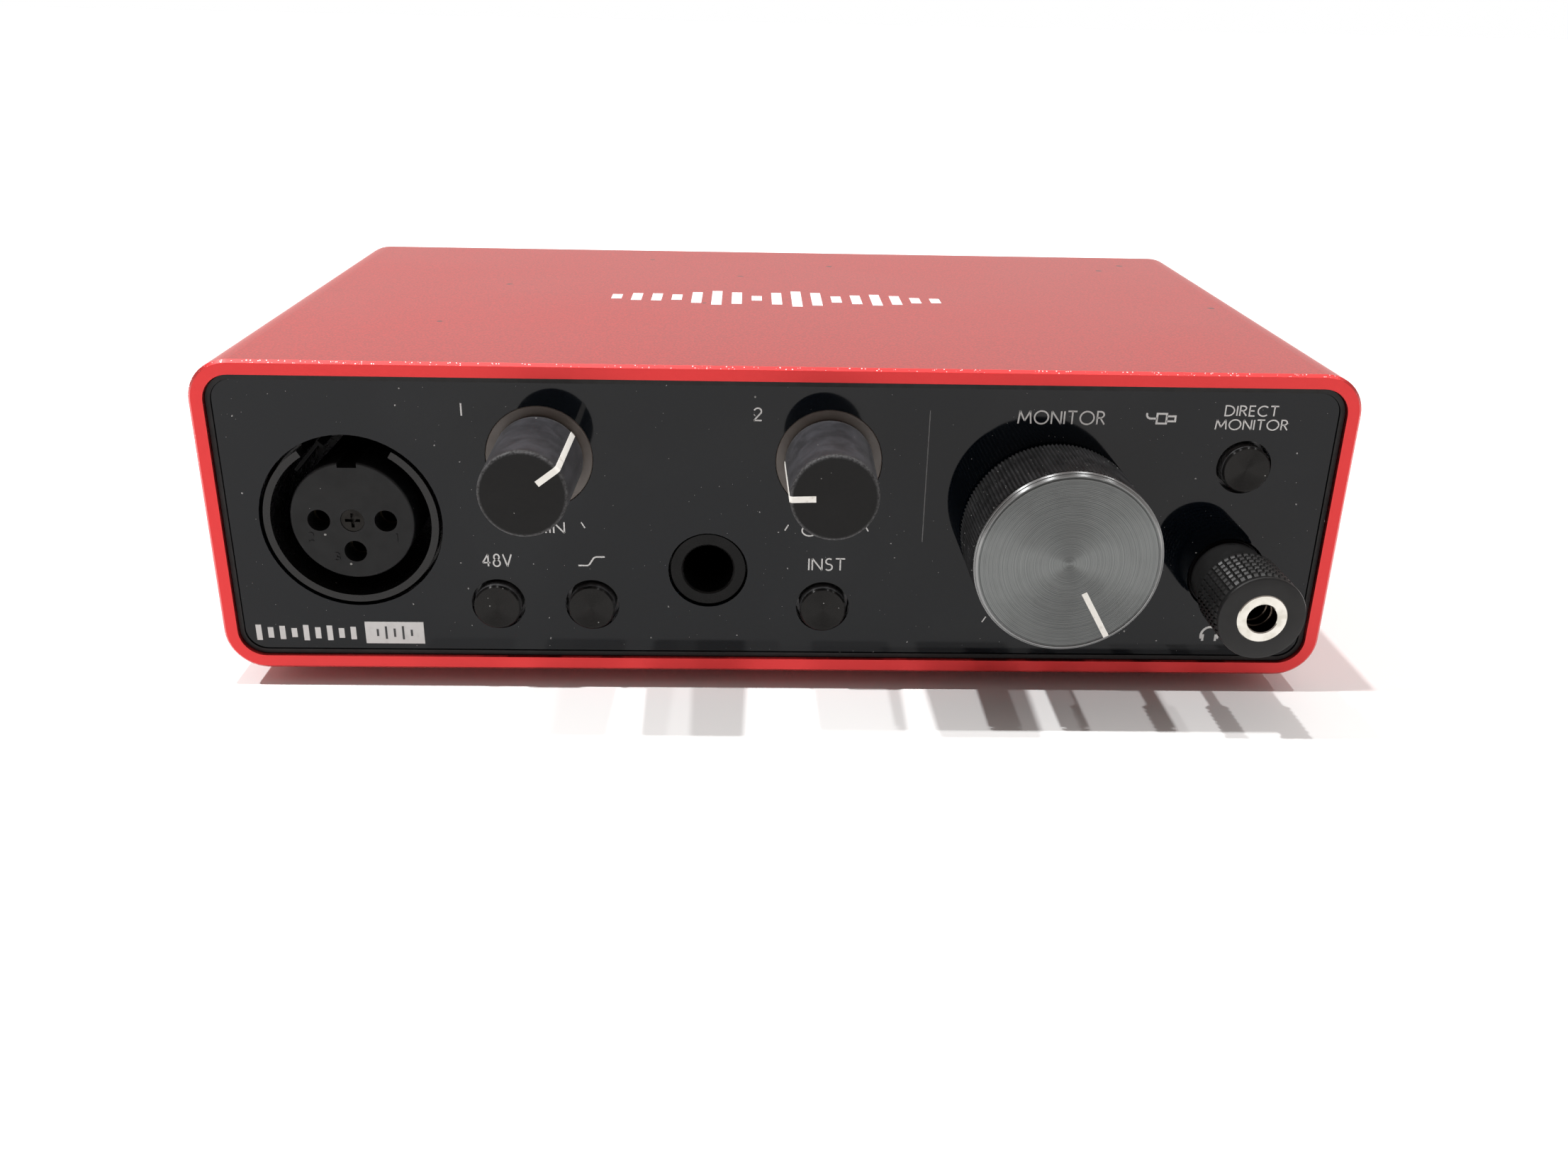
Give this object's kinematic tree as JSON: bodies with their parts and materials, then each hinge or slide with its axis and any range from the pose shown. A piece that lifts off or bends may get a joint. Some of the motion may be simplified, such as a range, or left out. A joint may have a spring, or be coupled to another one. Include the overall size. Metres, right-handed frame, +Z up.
{
  "type": "audio interface",
  "caption": "Desktop audio interface: red aluminium sleeve, dark front panel with XLR and jack sockets, turning knobs, sprung buttons and a plugged-in headphone adapter.",
  "frame": {"origin": "on the surface the feet stand on, under the middle of the whole object", "axes": "+X to the right seen from the front, +Y from the front panel to the rear panel, +Z up"},
  "size_m": [0.1436, 0.0959, 0.0435],
  "materials": {
    "red_anodised": "sandblasted and anodised",
    "black_moulding": "fine satin texture",
    "fascia_gloss": "polished near-black",
    "black_screws": "black oxide",
    "zinc_screws": "zinc plated",
    "rubber": "matt",
    "circuit_board": "green solder mask",
    "component_black": "moulded",
    "connector_black": "satin moulded",
    "insert_grey": "satin moulded",
    "contact_metal": "gold flashed",
    "spring_steel": "plain",
    "nickel": "bright nickel",
    "control_body": "moulded",
    "control_shaft": "moulded",
    "halo_smoke": "smoked diffusing",
    "knob_rubber": "soft-touch",
    "pointer_white": "moulded",
    "knurl_black": "black, fine knurl",
    "cap_aluminium": "turned, dark grey",
    "button_gloss": "turned rings",
    "plunger_plastic": "moulded",
    "adapter_black": "black, cut grid knurl"
  },
  "bodies": {
    "enclosure": {"board_link_header": "component_black", "direct_monitor_switch": "control_body", "enclosure_sleeve": "red_anodised", "front_board_screws": "zinc_screws", "front_circuit_board": "circuit_board", "front_fascia": "fascia_gloss", "front_panel_moulding": "black_moulding", "gain_pot_1": "control_body", "gain_pot_2": "control_body", "halo_leds": "component_black", "halo_ring_1": "halo_smoke", "halo_ring_2": "halo_smoke", "headphone_jack": "connector_black", "headphone_jack_contacts": "contact_metal", "instrument_jack": "connector_black", "instrument_jack_contacts": "contact_metal", "instrument_switch": "control_body", "line_out_contacts": "contact_metal", "line_out_jack_left": "connector_black", "line_out_jack_right": "connector_black", "line_out_nuts": "nickel", "main_board_components": "component_black", "main_board_screws": "zinc_screws", "main_circuit_board": "circuit_board", "monitor_pot": "control_body", "phantom_power_switch": "control_body", "presence_switch": "control_body", "rear_panel": "black_moulding", "rear_panel_screws": "black_screws", "rubber_feet": "rubber", "usb_c_receptacle": "spring_steel", "usb_c_tongue": "connector_black", "xlr_contacts": "contact_metal", "xlr_insert": "insert_grey", "xlr_insert_screw": "black_screws", "xlr_mounting_screws": "zinc_screws", "xlr_retention_spring": "spring_steel", "xlr_shell": "connector_black"},
    "gain_control_1": {"gain_knob_1": "knob_rubber", "gain_pointer_1": "pointer_white", "gain_shaft_1": "control_shaft"},
    "gain_control_2": {"gain_knob_2": "knob_rubber", "gain_pointer_2": "pointer_white", "gain_shaft_2": "control_shaft"},
    "monitor_control": {"monitor_knob": "knurl_black", "monitor_knob_cap": "cap_aluminium", "monitor_pointer": "pointer_white", "monitor_shaft": "control_shaft"},
    "headphone_adapter": {"adapter_barrel": "adapter_black", "adapter_socket_ring": "nickel", "adapter_plug": "nickel", "adapter_plug_insulators": "adapter_black"},
    "phantom_power_key": {"phantom_power_button": "button_gloss", "phantom_power_plunger": "plunger_plastic"},
    "presence_key": {"presence_button": "button_gloss", "presence_plunger": "plunger_plastic"},
    "instrument_key": {"instrument_button": "button_gloss", "instrument_plunger": "plunger_plastic"},
    "direct_monitor_key": {"direct_monitor_button": "button_gloss", "direct_monitor_plunger": "plunger_plastic"}
  },
  "joints": [
    {"name": "gain_1_turn", "type": "hinge", "parent": "enclosure", "child": "gain_control_1", "pos_m": [-0.03, -0.04, 0.03145], "axis": [0, 1, 0], "range_deg": [-203, 97]},
    {"name": "gain_2_turn", "type": "hinge", "parent": "enclosure", "child": "gain_control_2", "pos_m": [0.006, -0.04, 0.0314], "axis": [0, 1, 0], "range_deg": [-58, 242]},
    {"name": "monitor_turn", "type": "hinge", "parent": "enclosure", "child": "monitor_control", "pos_m": [0.0345, -0.04, 0.0228], "axis": [0, 1, 0], "range_deg": [-300, 0]},
    {"name": "phantom_power_press", "type": "slide", "parent": "enclosure", "child": "phantom_power_key", "axis": [0, 1, 0], "range_m": [0, 0.0008], "stiffness_N_per_m": 400, "springref_m": -0.003},
    {"name": "presence_press", "type": "slide", "parent": "enclosure", "child": "presence_key", "axis": [0, 1, 0], "range_m": [0, 0.0008], "stiffness_N_per_m": 400, "springref_m": -0.003},
    {"name": "instrument_press", "type": "slide", "parent": "enclosure", "child": "instrument_key", "axis": [0, 1, 0], "range_m": [0, 0.0008], "stiffness_N_per_m": 400, "springref_m": -0.003},
    {"name": "direct_monitor_press", "type": "slide", "parent": "enclosure", "child": "direct_monitor_key", "axis": [0, 1, 0], "range_m": [0, 0.0008], "stiffness_N_per_m": 400, "springref_m": -0.003},
    {"name": "adapter_pull", "type": "slide", "parent": "enclosure", "child": "headphone_adapter", "axis": [0, -1, 0], "range_m": [0, 0.034]}
  ]
}
